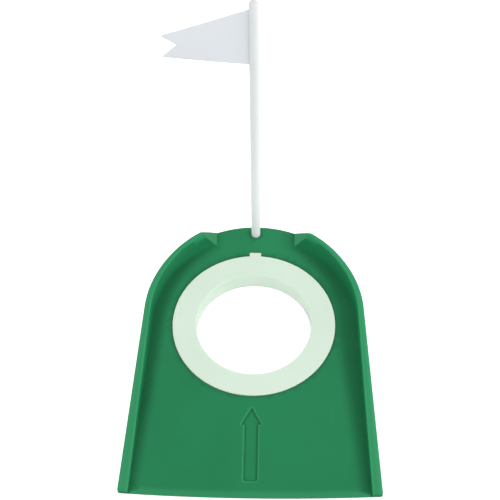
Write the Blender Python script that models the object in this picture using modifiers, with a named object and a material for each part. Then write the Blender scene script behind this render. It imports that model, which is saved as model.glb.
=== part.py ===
"""Putting cup: a ramped plastic base with a regulation size hole, a lift-out
reducer ring, and a flagstick with a swallow-tailed pennant.

Frame: origin at the middle of the footprint, on the floor the cup stands on.
+Z up, +Y towards the flagstick (the back), -Y towards the entry lip (the
front).  Metres.  The sizes are laid out from the centre of the hole, and
every object hangs on one empty that stands there.
"""
import math

import bmesh
import bpy
from mathutils import Matrix, Vector

# ------------------------------------------------------------ shared sizes
FIT = 0.0003             # running gap between neighbouring pieces
ARC_SEGMENTS = 72        # rounded back of an outline
FRONT_SEGMENTS = 24      # bowed front edge
ROUND_SEGMENTS = 96      # hole and ring
SLIM_SEGMENTS = 40       # stick, socket and boss

# cutters run past what they cut, to these heights
CLEAR_TOP = 0.0600
CLEAR_BOTTOM = -0.0100
KEEP_BOTTOM = -0.0200
BLOCK_TOP = 0.0800

# ------------------------------------------------------------ hole, ramp and rim
HOLE_R = 0.0542          # hole in the base, 4.25 in golf hole
LEDGE_R = 0.0520         # inner radius of the ledge under the ring
LEDGE_TOP = 0.0013
THROUGH_TOP = 0.0200     # top of the cutter that opens the floor inside the ledge
RAMP_Z0 = 0.0102         # height of the ramp plane at the hole centre
RAMP_SLOPE = 0.068       # rise of the ramp plane per metre of +Y
RIM_Z0 = 0.01451         # height of the rim's top plane at the hole centre
RIM_SLOPE = 0.0927       # rise of the rim's top plane per metre of +Y

# The rims' back ends sweep up above the rim plane.  Angles are in plan, from
# the X axis towards +Y; radii are about the centre of the rounded back.
HORN_LIFT = 0.0019
HORN_FROM = math.radians(25.0)
HORN_TO = math.radians(60.0)
HORN_INNER_R = 0.0690    # the lift grows from here out to the base's outer edge
HORN_INNER_SHARE = 0.35  # share of the lift inside that radius

# ------------------------------------------------------------ base outlines
BLANK_TOP = 0.0400       # height of the base before its top is cut
ARC_R = 0.0730           # rounded back of the base
ARC_Y = 0.0053
FLARE = math.radians(3.485)        # outward flare of the sides
FRONT_Y = -0.1234        # front edge at the middle
FRONT_BOW = 0.0024       # how far the middle stands in front of the corners
FOOT_R = 0.0673          # foot line of the rim's inner wall, on the ramp
FOOT_Y = 0.0003
FOOT_FLARE = math.radians(3.09)
EDGE_R = 0.0690          # upper edge of that wall, on the rim's top
EDGE_Y = 0.00596
EDGE_FLARE = math.radians(2.43)
POCKET_FRONT_Y = -0.1400
POCKET_PAST = 1.6        # the wall's slope runs on to this multiple of its height

GAP_FOOT_X = 0.0268      # half width of the rim's opening, at the ramp
GAP_TOP_X = 0.0352       # the same, level with the rim's top
GAP_FROM_Y = 0.0520
GAP_LENGTH = 0.0500      # length of its cutter along Y
GAP_HEIGHT = 0.0300
GAP_RISE_Y = 0.0660      # where the rim's height above the ramp is taken

# ------------------------------------------------------------ base underside
WALL = 0.0022            # outer skirt thickness
SKIN = 0.0020            # thickness under the ramp and the rim
POCKET_GROW = 0.0013     # extra pocket radius left solid underneath
GAP_GROW = 0.0006        # extra half width of the opening left solid underneath
COLLAR_WALL = 0.0020     # wall round the hole
COLLAR_R = HOLE_R + COLLAR_WALL
SOLID_LIP_Y = -0.1040    # in front of this line the base is solid
PAD_HALF = 0.0068        # thickened pad under the tab's notch
PAD_FROM_Y = 0.0450
PAD_Y = 0.0612
RIB_X = 0.0300           # two lengthwise ribs
RIB_HALF = 0.0008
RIB_FRONT_Y = -0.1400
RIB_BACK_Y = -0.0400

# ------------------------------------------------------------ sunk arrow
ARROW_TIP_Y = -0.0633    # sizes are those of the arrow's floor
ARROW_BARB_Y = -0.0741
ARROW_NECK_Y = -0.0737   # the barbs sweep back a little from the neck
ARROW_END_Y = -0.1122
ARROW_HALF = 0.0038
ARROW_BARB_HALF = 0.0057
ARROW_DEPTH = 0.0009
ARROW_CHAMFER = 0.0020   # the walls slope out at 45 degrees
ARROW_CUT_HEIGHT = 0.0200

# ------------------------------------------------------------ reducer ring
RING_R = HOLE_R - FIT
RING_EDGE = 0.0005       # chamfer of the outer top edge
RING_BORE_R = 0.0379
RING_FILLET = 0.0009
FILLET_SEGMENTS = 6
RING_WALL = 0.0018
RING_TOP = 0.0022        # thickness of the ring's top
RING_INNER_CHAMFER = 0.0012        # inside, between its top and the bore's wall
RING_FOOT = LEDGE_TOP + FIT
BORE_FOOT = 0.0003       # the bore's wall reaches down almost to the floor
TAB_HALF = 0.0040
TAB_OUT = 0.0567         # how far the tab reaches from the hole centre
TAB_OVERLAP = 0.0012     # how far it runs into the ring
TAB_BLANK_TOP = 0.0300
TAB_THICK = 0.0024       # measured down from the ramp at TAB_MEASURE_Y
TAB_MEASURE_Y = 0.0555
TAB_FOOT_BLOCK_HALF = 0.2000       # half width of the block that trims its top
NOTCH_OVERLAP = 0.0040   # how far the notch's cutter reaches into the hole
NOTCH_FLOOR = RAMP_Z0 + RAMP_SLOPE * TAB_MEASURE_Y - TAB_THICK - FIT

# ------------------------------------------------------------ flagstick
STICK_Y = 0.0727
STICK_R = 0.00306
STICK_TOP = 0.2227
STICK_CHAMFER = 0.0006   # at the foot
DOME_SEGMENTS = 8
SOCKET_FLOOR = 0.0020
SOCKET_R = STICK_R + FIT
BOSS_R = 0.0054

# ------------------------------------------------------------ pennant
FLAG_TURN = math.radians(9.8)      # pennant's turn about the stick
FLAG_MID_Z = 0.1955
FLAG_HOIST_HALF = 0.0210
FLAG_FLY_HALF = 0.0081
FLAG_FLY_X = 0.0546
FLAG_NOTCH_X = 0.0454
FLAG_THICK = 0.0007
SLOT_DEPTH_X = 0.0004    # the slot stops this far short of the stick's axis
SLOT_OUT_X = 0.0100      # its cutter starts this far out from the axis

# halfway between the front edge and the rounded back, seen from the hole,
# is the origin
HOLE_Y = -(FRONT_Y + ARC_Y + ARC_R) / 2


# ------------------------------------------------------------ object helpers
def move_to(obj, collection):
    for owner in list(obj.users_collection):
        owner.objects.unlink(obj)
    collection.objects.link(obj)


def keep(obj, mat):
    """Make obj a piece of the cup."""
    move_to(obj, parts)
    obj.data.materials.append(mat)


def as_cutter(obj):
    """Make obj a helper that booleans refer to."""
    move_to(obj, cutters)
    obj.hide_render = True
    obj.display_type = "WIRE"
    return obj


def material(name, colour, roughness):
    mat = bpy.data.materials.new(name)
    mat.use_nodes = True
    shader = mat.node_tree.nodes["Principled BSDF"]
    shader.inputs["Base Color"].default_value = (*colour, 1.0)
    shader.inputs["Roughness"].default_value = roughness
    return mat


def boolean(obj, other, operation="DIFFERENCE"):
    mod = obj.modifiers.new(operation.title() + " " + other.name, "BOOLEAN")
    mod.operation = operation
    mod.solver = "EXACT"
    mod.object = other


def smooth_shading(obj, sharp_degrees):
    obj.data.shade_smooth()
    obj.data.set_sharp_from_angle(angle=math.radians(sharp_degrees))


def add_object(name, data):
    obj = bpy.data.objects.new(name, data)
    bpy.context.scene.collection.objects.link(obj)
    return obj


def object_from_bmesh(name, build):
    mesh = bpy.data.meshes.new(name)
    build.to_mesh(mesh)
    build.free()
    return add_object(name, mesh)


def evaluated_mesh(obj):
    bpy.context.view_layer.update()
    evaluated = obj.evaluated_get(bpy.context.evaluated_depsgraph_get())
    return bpy.data.meshes.new_from_object(evaluated)


def weld(mesh, dissolve_flat=False):
    """Join coincident vertices, face outwards and optionally merge flat faces."""
    build = bmesh.new()
    build.from_mesh(mesh)
    bmesh.ops.remove_doubles(build, verts=build.verts, dist=1e-6)
    bmesh.ops.recalc_face_normals(build, faces=build.faces)
    if dissolve_flat:
        bmesh.ops.dissolve_limit(build, angle_limit=math.radians(0.05), verts=build.verts,
                                 edges=build.edges, use_dissolve_boundaries=False)
    build.to_mesh(mesh)
    build.free()


# ------------------------------------------------------------ shape helpers
def prism(name, points, z_low, z_high, chamfer=0.0):
    """Extrude a filled outline between two heights; origin at mid height.

    With a chamfer the outline swells outwards at 45 degrees from the lower
    and upper faces."""
    curve = bpy.data.curves.new(name + "_outline", "CURVE")
    curve.dimensions = "2D"
    curve.fill_mode = "BOTH"
    spline = curve.splines.new("POLY")
    spline.points.add(len(points) - 1)
    for point, (x, y) in zip(spline.points, points):
        point.co = (x, y, 0.0, 1.0)
    spline.use_cyclic_u = True
    curve.extrude = (z_high - z_low) / 2 - chamfer
    curve.bevel_depth = chamfer
    curve.bevel_resolution = 0
    guide = add_object(name + "_outline", curve)
    mesh = evaluated_mesh(guide)
    bpy.data.objects.remove(guide, do_unlink=True)
    weld(mesh, dissolve_flat=True)
    obj = add_object(name, mesh)
    obj.location.z = (z_high + z_low) / 2
    return obj


def box(name, low, high):
    low, high = Vector(low), Vector(high)
    bpy.ops.mesh.primitive_cube_add(size=1.0)
    obj = bpy.context.object
    obj.name = name
    obj.data.transform(Matrix.Diagonal((*(high - low), 1.0)))
    obj.location = (high + low) / 2
    return obj


def cylinder(name, radius, z_low, z_high, y=0.0, segments=ROUND_SEGMENTS):
    bpy.ops.mesh.primitive_cylinder_add(vertices=segments, radius=radius,
                                        depth=z_high - z_low,
                                        location=(0.0, y, (z_low + z_high) / 2))
    obj = bpy.context.object
    obj.name = name
    return obj


def screw_body(name, profile, closed, segments):
    """Turn a profile of (radius, z) points once round the Z axis."""
    build = bmesh.new()
    verts = [build.verts.new((radius, 0.0, z)) for radius, z in profile]
    for start, end in zip(verts, verts[1:]):
        build.edges.new((start, end))
    if closed:
        build.edges.new((verts[-1], verts[0]))
    obj = object_from_bmesh(name, build)
    mod = obj.modifiers.new("Screw", "SCREW")
    mod.axis = "Z"
    mod.angle = 2 * math.pi
    mod.steps = segments
    mod.render_steps = segments
    mod.use_merge_vertices = True
    mod.merge_threshold = 0.00001
    solid = evaluated_mesh(obj)
    obj.modifiers.clear()
    obj.data = solid
    weld(solid)
    return obj


def bake_location(obj):
    """Move the object's location into its mesh."""
    obj.data.transform(Matrix.Translation(obj.location))
    obj.location = (0.0, 0.0, 0.0)


def lay_on_ramp(obj, drop=0.0):
    """Lay a shape drawn about z = 0 onto the ramp plane, moved down by drop."""
    bake_location(obj)
    obj.location.z = RAMP_Z0 - drop
    obj.rotation_euler.x = math.atan(RAMP_SLOPE)
    return as_cutter(obj)


def stand_up(obj):
    """Turn a flat shape so that its drawn Y points up and it is thick along Y."""
    obj.data.transform(Matrix.Rotation(math.pi / 2, 4, "X"))


def side_outline(radius, centre_y, flare, front_y, bow=0.0):
    """Rounded back, straight flared sides and a front that may be bowed."""
    points = []
    for i in range(ARC_SEGMENTS + 1):
        angle = flare + (math.pi - 2 * flare) * i / ARC_SEGMENTS
        points.append((radius * math.cos(angle), centre_y + radius * math.sin(angle)))
    corner_y = front_y + bow
    half = (radius + (centre_y - corner_y) * math.sin(flare)) / math.cos(flare)
    segments = FRONT_SEGMENTS if bow else 1
    for i in range(segments + 1):
        across = -1 + 2 * i / segments
        points.append((half * across, corner_y - bow * (1 - across * across)))
    return points


def ramp_z(y, drop):
    return RAMP_Z0 - drop + RAMP_SLOPE * y


def rim_z(y, drop):
    return RIM_Z0 - drop + RIM_SLOPE * y


# ------------------------------------------------------------ cutters used twice
# Each shapes the base's top, and again, moved down, bounds the hollow below it.
def horn_lift(x, y):
    """Sweep of the rim's top at its back ends, most of it along the outer edge."""
    turn = (math.atan2(y - ARC_Y, abs(x)) - HORN_FROM) / (HORN_TO - HORN_FROM)
    turn = max(0.0, min(1.0, turn))
    across = (math.hypot(x, y - ARC_Y) - HORN_INNER_R) / (ARC_R - HORN_INNER_R)
    across = max(0.0, min(1.0, across))
    share = HORN_INNER_SHARE + (1.0 - HORN_INNER_SHARE) * across
    return HORN_LIFT * turn * turn * (3.0 - 2.0 * turn) * share


def above_rim(name, drop=0.0):
    """A block whose lower face is the rim's top, moved down by drop."""
    # grid lines, close together where the back ends sweep up
    xs = [-0.100, -0.074] + [-0.072 + 0.003 * i for i in range(49)] + [0.074, 0.100]
    ys = [-0.150, 0.010, 0.024] + [0.030 + 0.003 * i for i in range(17)] + [0.100]
    build = bmesh.new()
    low = [[build.verts.new((x, y, rim_z(y, drop) + horn_lift(x, y))) for x in xs]
           for y in ys]
    high = [[build.verts.new((x, y, BLOCK_TOP)) for x in xs] for y in ys]
    for j in range(len(ys) - 1):
        for i in range(len(xs) - 1):
            corner = low[j][i]
            opposite = low[j + 1][i + 1]
            build.faces.new((corner, opposite, low[j][i + 1]))
            build.faces.new((corner, low[j + 1][i], opposite))
            build.faces.new((high[j][i], high[j][i + 1],
                             high[j + 1][i + 1], high[j + 1][i]))
    for j in range(len(ys) - 1):
        for i in (0, -1):
            build.faces.new((low[j][i], high[j][i], high[j + 1][i], low[j + 1][i]))
    for i in range(len(xs) - 1):
        for j in (0, -1):
            build.faces.new((low[j][i], high[j][i], high[j][i + 1], low[j][i + 1]))
    bmesh.ops.recalc_face_normals(build, faces=build.faces)
    return as_cutter(object_from_bmesh(name, build))


def pocket_block(name, drop=0.0, grow=0.0):
    """Everything above the ramp and inside the rims: a loft from the wall's foot
    line through its upper edge, carried on past the rim and then straight up."""
    foot = side_outline(FOOT_R + grow, FOOT_Y, FOOT_FLARE, POCKET_FRONT_Y)
    edge = side_outline(EDGE_R + grow, EDGE_Y, EDGE_FLARE, POCKET_FRONT_Y)
    build = bmesh.new()
    rows = [[], [], []]
    for (foot_x, foot_y), (edge_x, edge_y) in zip(foot, edge):
        low = Vector((foot_x, foot_y, ramp_z(foot_y, drop)))
        rim = Vector((edge_x, edge_y, rim_z(edge_y, drop)))
        high = low + (rim - low) * POCKET_PAST
        for row, place in zip(rows, (low, high, Vector((high.x, high.y, CLEAR_TOP)))):
            row.append(build.verts.new(place))
    for lower, upper in zip(rows, rows[1:]):
        for i in range(len(lower)):
            j = (i + 1) % len(lower)
            build.faces.new((lower[i], lower[j], upper[j], upper[i]))
    build.faces.new(rows[0][::-1])
    build.faces.new(rows[2])
    bmesh.ops.recalc_face_normals(build, faces=build.faces)
    return as_cutter(object_from_bmesh(name, build))


def gap_block(name, drop=0.0, widen=0.0):
    """Trapezoid cutter across the back: floor on the ramp plane, ends sloped."""
    rise = (RIM_Z0 - RAMP_Z0) + (RIM_SLOPE - RAMP_SLOPE) * GAP_RISE_Y
    run = (GAP_TOP_X - GAP_FOOT_X) / rise
    foot = GAP_FOOT_X + widen
    top = foot + run * GAP_HEIGHT
    points = [(-foot, 0.0), (foot, 0.0), (top, GAP_HEIGHT), (-top, GAP_HEIGHT)]
    obj = prism(name, points, -GAP_LENGTH / 2, GAP_LENGTH / 2)
    stand_up(obj)
    obj.data.transform(Matrix.Translation((0, GAP_FROM_Y + GAP_LENGTH / 2, 0)))
    return lay_on_ramp(obj, drop)


# ------------------------------------------------------------ base
def hollow_cutter():
    """The space under the base, less everything that stays solid there."""
    outline = side_outline(ARC_R - WALL, ARC_Y, FLARE, SOLID_LIP_Y)
    hollow = as_cutter(prism("cut_hollow", outline, CLEAR_BOTTOM, BLANK_TOP))
    solids = [
        above_rim("keep_rim_top", SKIN),
        pocket_block("keep_pocket", SKIN, POCKET_GROW),
        gap_block("keep_rim_gap", SKIN, GAP_GROW),
        cylinder("keep_collar", COLLAR_R, KEEP_BOTTOM, CLEAR_TOP),
        box("keep_pad", (-PAD_HALF, PAD_FROM_Y, KEEP_BOTTOM), (PAD_HALF, PAD_Y, CLEAR_TOP)),
        cylinder("keep_boss", BOSS_R, KEEP_BOTTOM, CLEAR_TOP, STICK_Y, SLIM_SEGMENTS),
    ]
    for side, x in (("left", -RIB_X), ("right", RIB_X)):
        solids.append(box(f"keep_{side}_rib", (x - RIB_HALF, RIB_FRONT_Y, KEEP_BOTTOM),
                          (x + RIB_HALF, RIB_BACK_Y, CLEAR_TOP)))
    for solid in solids:
        boolean(hollow, as_cutter(solid))
    return hollow


def arrow_cutter():
    """Arrow pointing towards the hole, sunk into the ramp."""
    points = [(0.0, ARROW_TIP_Y), (ARROW_BARB_HALF, ARROW_BARB_Y),
              (ARROW_HALF, ARROW_NECK_Y), (ARROW_HALF, ARROW_END_Y),
              (-ARROW_HALF, ARROW_END_Y), (-ARROW_HALF, ARROW_NECK_Y),
              (-ARROW_BARB_HALF, ARROW_BARB_Y)]
    arrow = prism("cut_arrow", points, 0.0, ARROW_CUT_HEIGHT, ARROW_CHAMFER)
    return lay_on_ramp(arrow, ARROW_DEPTH)


def build_base():
    outline = side_outline(ARC_R, ARC_Y, FLARE, FRONT_Y, FRONT_BOW)
    base = prism("base", outline, 0.0, BLANK_TOP)
    for cutter in (
        above_rim("cut_rim_top"),
        pocket_block("cut_pocket"),
        gap_block("cut_rim_gap"),
        hollow_cutter(),
        cylinder("cut_hole", HOLE_R, LEDGE_TOP, CLEAR_TOP),
        cylinder("cut_through", LEDGE_R, CLEAR_BOTTOM, THROUGH_TOP),
        box("cut_notch", (-TAB_HALF - FIT, HOLE_R - NOTCH_OVERLAP, NOTCH_FLOOR),
            (TAB_HALF + FIT, TAB_OUT + FIT, CLEAR_TOP)),
        cylinder("cut_socket", SOCKET_R, SOCKET_FLOOR, CLEAR_TOP, STICK_Y, SLIM_SEGMENTS),
        arrow_cutter(),
    ):
        boolean(base, as_cutter(cutter))
    keep(base, material("base", colour=(0.026, 0.235, 0.102), roughness=0.42))
    smooth_shading(base, sharp_degrees=30.0)


# ------------------------------------------------------------ reducer ring
def ring_profile():
    """Section of the ring, open below, run from the outer top edge down the
    outside, up inside the hollow, then down and round to the bore."""
    top = RAMP_Z0
    ceiling = top - RING_TOP
    hollow_outer = RING_R - RING_WALL
    hollow_inner = RING_BORE_R + RING_WALL
    points = [(RING_R - RING_EDGE, top), (RING_R, top - RING_EDGE), (RING_R, RING_FOOT),
              (hollow_outer, RING_FOOT), (hollow_outer, ceiling),
              (hollow_inner + RING_INNER_CHAMFER, ceiling),
              (hollow_inner, ceiling - RING_INNER_CHAMFER),
              (hollow_inner, BORE_FOOT), (RING_BORE_R, BORE_FOOT)]
    for i in range(FILLET_SEGMENTS + 1):
        angle = math.pi - (math.pi / 2) * i / FILLET_SEGMENTS
        points.append((RING_BORE_R + RING_FILLET + RING_FILLET * math.cos(angle),
                       top - RING_FILLET + RING_FILLET * math.sin(angle)))
    return points


def build_ring():
    ring = screw_body("reducer_ring", ring_profile(), True, ROUND_SEGMENTS)
    # the ring is level at its foot and follows the ramp at its top
    for vert in ring.data.vertices:
        share = max(0.0, (vert.co.z - RING_FOOT) / (RAMP_Z0 - RING_FOOT))
        vert.co.z += share * RAMP_SLOPE * vert.co.y
    tab = as_cutter(box("join_tab", (-TAB_HALF, RING_R - TAB_OVERLAP, NOTCH_FLOOR + FIT),
                        (TAB_HALF, TAB_OUT, TAB_BLANK_TOP)))
    half = TAB_FOOT_BLOCK_HALF
    above_tab = box("cut_tab_top", (-half, -half, 0.0), (half, half, BLOCK_TOP))
    boolean(tab, lay_on_ramp(above_tab))
    boolean(ring, tab, "UNION")
    keep(ring, material("reducer_ring", colour=(0.68, 0.83, 0.70), roughness=0.45))
    smooth_shading(ring, sharp_degrees=40.0)


# ------------------------------------------------------------ flagstick
def build_stick():
    """Round stick with a domed top, chamfered foot and a slot for the pennant."""
    foot_z = SOCKET_FLOOR + FIT
    profile = []
    for i in range(DOME_SEGMENTS + 1):
        angle = math.pi / 2 * (1 - i / DOME_SEGMENTS)
        profile.append((STICK_R * math.cos(angle),
                        STICK_TOP - STICK_R + STICK_R * math.sin(angle)))
    profile += [(STICK_R, foot_z + STICK_CHAMFER), (STICK_R - STICK_CHAMFER, foot_z),
                (0.0, foot_z)]
    stick = screw_body("flagstick", profile, False, SLIM_SEGMENTS)
    stick.location = (0.0, STICK_Y, 0.0)

    half_y = FLAG_THICK / 2 + FIT
    slot = box("cut_flag_slot",
               (-SLOT_OUT_X, -half_y, FLAG_MID_Z - FLAG_HOIST_HALF - FIT),
               (-SLOT_DEPTH_X, half_y, FLAG_MID_Z + FLAG_HOIST_HALF + FIT))
    bake_location(slot)
    slot.location.y = STICK_Y
    slot.rotation_euler.z = FLAG_TURN
    boolean(stick, as_cutter(slot))
    keep(stick, material("flagstick", colour=(0.80, 0.82, 0.80), roughness=0.32))
    smooth_shading(stick, sharp_degrees=40.0)


# ------------------------------------------------------------ pennant
def build_pennant():
    """Flat pennant, tapering to the fly end and cut back there in a V."""
    in_slot = -(SLOT_DEPTH_X + FIT)
    at_stick = -STICK_R
    top = FLAG_HOIST_HALF
    fly = FLAG_FLY_HALF
    # X along the fly, Y up the hoist
    points = [(in_slot, -top), (in_slot, top), (at_stick, top),
              (-FLAG_FLY_X, fly), (-FLAG_NOTCH_X, 0.0), (-FLAG_FLY_X, -fly),
              (at_stick, -top)]
    pennant = prism("pennant", points, -FLAG_THICK / 2, FLAG_THICK / 2)
    stand_up(pennant)
    pennant.data.transform(Matrix.Translation((0.0, 0.0, FLAG_MID_Z)))
    pennant.location.y = STICK_Y
    pennant.rotation_euler.z = FLAG_TURN
    keep(pennant, material("pennant", colour=(0.76, 0.79, 0.83), roughness=0.38))


def hang_on_hole_centre():
    centre = add_object("hole_centre", None)
    centre.empty_display_size = 0.02
    centre.location = (0.0, HOLE_Y, 0.0)
    for obj in list(parts.objects) + list(cutters.objects):
        obj.parent = centre


# ------------------------------------------------------------ build
for old in list(bpy.data.objects):
    bpy.data.objects.remove(old, do_unlink=True)

parts = bpy.data.collections.new("putting_cup")
cutters = bpy.data.collections.new("cutters")
for group in (parts, cutters):
    bpy.context.scene.collection.children.link(group)

build_base()
build_ring()
build_stick()
build_pennant()
hang_on_hole_centre()
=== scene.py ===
"""Putting cup: a green ramp with raised rims and a hole, a mint reducer ring in the hole,
and a flagstick with a pennant behind it.

Lengths in the geometry code are millimetres from the centre of the hole: x to the right,
y back towards the flagstick, z up from the floor. Build.object turns them into metres.
"""

import math
from functools import cached_property

import bmesh
import bpy
import numpy as np
from mathutils import Matrix, Vector
from mathutils.geometry import delaunay_2d_cdt
from mathutils.kdtree import KDTree


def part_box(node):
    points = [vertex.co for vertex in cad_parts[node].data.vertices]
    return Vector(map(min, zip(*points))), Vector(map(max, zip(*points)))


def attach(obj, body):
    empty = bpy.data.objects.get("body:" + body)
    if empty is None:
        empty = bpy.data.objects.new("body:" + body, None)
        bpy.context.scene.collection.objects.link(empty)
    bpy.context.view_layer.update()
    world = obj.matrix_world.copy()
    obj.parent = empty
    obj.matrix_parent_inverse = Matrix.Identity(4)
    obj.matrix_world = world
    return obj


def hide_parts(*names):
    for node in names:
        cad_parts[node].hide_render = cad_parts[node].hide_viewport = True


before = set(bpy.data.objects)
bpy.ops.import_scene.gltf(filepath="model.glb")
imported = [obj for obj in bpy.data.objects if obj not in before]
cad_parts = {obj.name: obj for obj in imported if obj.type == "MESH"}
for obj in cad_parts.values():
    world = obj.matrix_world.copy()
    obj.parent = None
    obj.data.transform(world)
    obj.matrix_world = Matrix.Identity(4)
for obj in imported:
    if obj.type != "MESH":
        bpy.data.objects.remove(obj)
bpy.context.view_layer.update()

# ------------------------------------------------------------ sizes of the base
ARC_R, ARC_Y = 73.0, 5.3                    # rounded back of the outline
FLARE = math.radians(3.485)                 # the sides spread this much towards the front
FRONT_Y, FRONT_BOW, BOW_HALF = -123.4, 2.4, 80.8    # bowed front edge: middle, bow, half width
CORNER_R = 1.3
BASE_EDGE = 0.4                             # rounding at the rims' outer edge and at the floor

FOOT_R, FOOT_Y, FOOT_FLARE = 67.3, 0.3, math.radians(3.09)      # foot of the rim's inner wall
WALL_R, WALL_Y, WALL_FLARE = 69.0, 5.96, math.radians(2.43)     # upper edge of that wall
MIN_WALL_WIDTH = 0.35
HORN_LIFT = 1.9                             # how far the rims' back ends sweep up
HORN_FROM, HORN_TO = math.radians(25.0), math.radians(60.0)
HORN_SLOPE, HORN_X = 0.707, 26.8            # sloped end faces and where they meet the ramp
RIM_EASE, HORN_EASE, FOOT_EASE = 0.6, 0.35, 0.55    # softness of the joins between surfaces

HOLE_R, HOLE_EDGE, HOLE_PARTS = 54.2, 0.45, 240
LEDGE_R, LEDGE_TOP = 52.0, 1.3              # ledge the ring would rest on, low in the hole
EAR_CORNER = 0.4
NOTCH_HALF, NOTCH_OUT, NOTCH_FLOOR = 4.3, 57.0, 11.274          # notch at the hole's back
SOCKET_Y, SOCKET_R, SOCKET_FLOOR, SOCKET_EDGE = 72.7, 3.36, 2.0, 0.35
ARROW_LIP, ARROW_DEPTH = 1.6, 0.9           # width of the rolled lip, depth of the sunk floor

SKIN, WALL, LIP_Y, ROOM_GROW = 2.0, 2.2, -104.0, 1.3            # hollow under the base
ROOM_FLOOR = -10.0

# the rounded back of the base gives the place of the hole, in metres
_, base_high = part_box("base")
HOLE_Y = base_high.y - (ARC_Y + ARC_R) / 1000


# ------------------------------------------------------------ plan geometry
def quarter(parts):
    """(plan, drop) of a unit quarter round, from its vertical foot to its level top."""
    angles = [math.pi / 2 * i / parts for i in range(parts + 1)]
    return [(1 - math.cos(a), 1 - math.sin(a)) for a in angles]


def circle(radius, count, x=0.0, y=0.0):
    angles = [2 * math.pi * i / count for i in range(count)]
    return [(x + radius * math.cos(a), y + radius * math.sin(a)) for a in angles]


def scaled(points, factor):
    return [(x * factor, y * factor) for x, y in points]


def moved(x, y, way, distance):
    """The plan point a distance along the vector way."""
    return x + way[0] * distance, y + way[1] * distance


def unit(v):
    return v / np.maximum(np.hypot(v[..., 0], v[..., 1])[..., None], 1e-12)


def edge_directions(points):
    """The points as an array, and the unit vectors of the edges before and after each."""
    p = np.asarray(points, float)
    return p, unit(p - np.roll(p, 1, 0)), unit(np.roll(p, -1, 0) - p)


def mitres(points):
    """Inward mitre vectors of a counter-clockwise closed polygon."""
    _, before, after = edge_directions(points)
    normal1 = np.stack([-before[:, 1], before[:, 0]], 1)
    normal2 = np.stack([-after[:, 1], after[:, 0]], 1)
    dot = np.clip((normal1 * normal2).sum(1), -0.7, 1)
    return (normal1 + normal2) / (1 + dot)[:, None]


def inset(points, distance):
    """The closed polygon moved inwards (outwards if the distance is negative)."""
    return np.asarray(points, float) + mitres(points) * distance


def round_corner(points, index, radius, parts=6):
    """The closed polygon with one corner rounded."""
    points = [tuple(q) for q in points]
    corner = np.array(points[index])
    back = unit(np.array(points[index - 1]) - corner)
    ahead = unit(np.array(points[(index + 1) % len(points)]) - corner)
    half = math.acos(max(-1, min(1, float(back @ ahead)))) / 2
    centre = corner + unit(back + ahead) * radius / math.sin(half)
    first = corner + back * radius / math.tan(half)
    last = corner + ahead * radius / math.tan(half)
    start = math.atan2(*(first - centre)[::-1])
    end = math.atan2(*(last - centre)[::-1])
    turn = (end - start + math.pi) % (2 * math.pi) - math.pi
    angles = [start + turn * i / parts for i in range(parts + 1)]
    arc = [tuple(centre + radius * np.array([math.cos(a), math.sin(a)])) for a in angles]
    return points[:index] + arc + points[index + 1:]


def split_edges(points, longest):
    """Extra points on the long edges of a closed polygon."""
    out = []
    for i, a in enumerate(points):
        b = points[(i + 1) % len(points)]
        n = max(1, int(math.ceil(math.dist(a, b) / longest)))
        out += [(a[0] + (b[0] - a[0]) * k / n, a[1] + (b[1] - a[1]) * k / n) for k in range(n)]
    return out


def offset_round(points, distance, parts=4):
    """A closed counter-clockwise polygon grown outwards, its outer corners turned round."""
    out = []
    for corner, before, after in zip(*edge_directions(points)):
        cross = before[0] * after[1] - before[1] * after[0]
        normal1 = np.array([before[1], -before[0]])
        normal2 = np.array([after[1], -after[0]])
        if cross > 0.12:
            start = math.atan2(normal1[1], normal1[0])
            turn = (math.atan2(normal2[1], normal2[0]) - start) % (2 * math.pi)
            for i in range(parts + 1):
                a = start + turn * i / parts
                out.append((corner[0] + distance * math.cos(a),
                            corner[1] + distance * math.sin(a)))
        else:
            mitre = (normal1 + normal2) / (1 + float(normal1 @ normal2))
            out.append(moved(*corner, mitre, distance))
    return out


def distance_to_outline(point, polygon):
    """Distance from a point to the nearest edge of a closed polygon."""
    starts = np.asarray(polygon, float)
    edges = np.roll(starts, -1, 0) - starts
    point = np.array(point)
    t = np.clip(((point - starts) * edges).sum(1) / (edges * edges).sum(1), 0, 1)
    return float(np.hypot(*(point - starts - edges * t[:, None]).T).min())


def true_offset(loop, polygon, distance):
    """The points of an offset loop that do stand the distance away from the polygon."""
    out = []
    for q in loop:
        away = distance_to_outline(q, polygon)
        if away > distance - 0.02 and (not out or math.dist(q, out[-1]) > 0.06):
            out.append((float(q[0]), float(q[1])))
    return out


def inside(x, y, polygon):
    """Whether a point lies inside a closed polygon."""
    result = False
    for (x1, y1), (x2, y2) in zip(polygon, [*polygon[1:], polygon[0]]):
        if (y1 > y) != (y2 > y) and x < (x2 - x1) * (y - y1) / (y2 - y1) + x1:
            result = not result
    return result


def eared_circle(radius, half, out, parts, ear_parts=3, corner_parts=5):
    """Circle with a square ear at the back, counter-clockwise, and how many of its points
    are on the circle. They come first."""
    start = math.pi / 2 + math.asin(half / radius)
    sweep = 2 * math.pi - 2 * math.asin(half / radius)
    angles = [start + sweep * i / parts for i in range(parts + 1)]
    arc = [(radius * math.cos(a), radius * math.sin(a)) for a in angles]
    y0 = arc[0][1]
    corner = EAR_CORNER
    ear = [(half, y0 + (out - corner - y0) * k / ear_parts) for k in range(1, ear_parts + 1)]
    for i in range(1, corner_parts + 1):
        a = math.pi / 2 * i / corner_parts
        ear.append((half - corner + corner * math.cos(a), out - corner + corner * math.sin(a)))
    ear += [(half - corner - (2 * half - 2 * corner) * k / 6, out) for k in range(1, 6)]
    ear += [(-x, y) for x, y in reversed(ear[:ear_parts + corner_parts])]
    return arc + ear, len(arc)


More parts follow.
